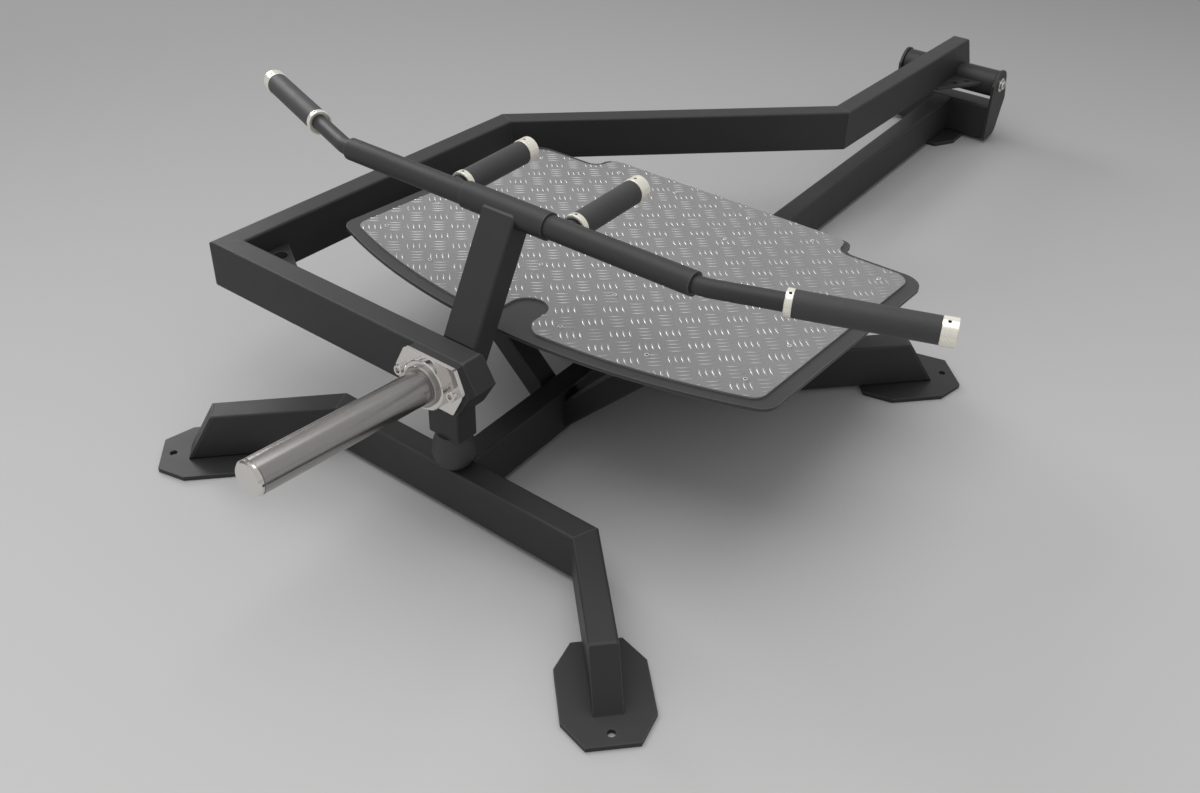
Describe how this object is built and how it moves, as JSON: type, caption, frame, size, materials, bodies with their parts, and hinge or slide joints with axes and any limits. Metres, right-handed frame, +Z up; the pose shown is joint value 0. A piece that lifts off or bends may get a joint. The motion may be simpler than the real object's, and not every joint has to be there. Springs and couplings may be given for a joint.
{
  "type": "t-bar row machine",
  "caption": "Plate-loaded T-bar row machine: floor frame with a tread-plate platform and a pivoting offset lever with weight horn and multi-grip handle.",
  "frame": {"origin": "on the floor at the centre of the four outer anchor holes of the splayed legs, on the main beam's centreline", "axes": "+X to the right of a user on the platform facing the weight horn's back, +Y along the main beam from the weight horn to the lever pivot, +Z up"},
  "size_m": [1.2436, 2.1445, 0.4665],
  "materials": {
    "frame_paint": "satin charcoal powder coat",
    "platform_paint": "satin black powder coat",
    "tread_metal": "embossed bar-pattern tread plate",
    "zinc_steel": "zinc plated",
    "chrome": "bright plated, satin on the horn",
    "bronze": "plain turned",
    "rubber": "matt black",
    "satin_metal": "satin turned, warm white"
  },
  "bodies": {
    "base": {"front_cross_tube": "frame_paint", "leg_front_r": "frame_paint", "leg_front_l": "frame_paint", "leg_mid_r": "frame_paint", "leg_mid_l": "frame_paint", "leg_caps": "frame_paint", "mid_cross_tube_r": "frame_paint", "mid_cross_tube_l": "frame_paint", "main_beam": "frame_paint", "foot_front_r": "frame_paint", "foot_front_l": "frame_paint", "foot_mid_r": "frame_paint", "foot_mid_l": "frame_paint", "foot_rear": "frame_paint", "rear_box": "frame_paint", "side_plate_r": "frame_paint", "side_plate_l": "frame_paint", "strut_r": "frame_paint", "strut_l": "frame_paint", "rear_posts": "frame_paint", "platform_base": "platform_paint", "tread_plate": "tread_metal", "platform_screws": "zinc_steel", "axle": "zinc_steel", "pivot_bolts": "chrome", "thrust_washers": "bronze"},
    "lever": {"arm_rear_tube": "frame_paint", "arm_diagonal_tube": "frame_paint", "arm_side_tube": "frame_paint", "arm_front_tube": "frame_paint", "arm_end_cap": "frame_paint", "arm_rear_cap": "frame_paint", "corner_gusset": "frame_paint", "pivot_barrel": "frame_paint", "barrel_gusset_r": "frame_paint", "barrel_gusset_l": "frame_paint", "pivot_bushes": "bronze", "backing_plate": "frame_paint", "horn_flange": "chrome", "weight_horn": "chrome", "horn_cap": "chrome", "flange_bolts": "chrome", "bumper_stub": "frame_paint", "bumper_ball": "rubber", "handle_post": "frame_paint", "handle_sleeve": "frame_paint", "handle_bar": "frame_paint", "handle_end_r": "frame_paint", "handle_end_l": "frame_paint", "grip_r": "rubber", "grip_l": "rubber", "grip_collars": "satin_metal", "grip_caps": "satin_metal", "neutral_stub_r": "frame_paint", "neutral_stub_l": "frame_paint", "neutral_grip_r": "rubber", "neutral_grip_l": "rubber", "neutral_collars": "satin_metal", "neutral_caps": "satin_metal"}
  },
  "joints": [
    {"name": "lever_pivot", "type": "hinge", "parent": "base", "child": "lever", "pos_m": [0, 1.4345, 0.135], "axis": [-1, 0, 0], "range_deg": [0, 60]}
  ]
}
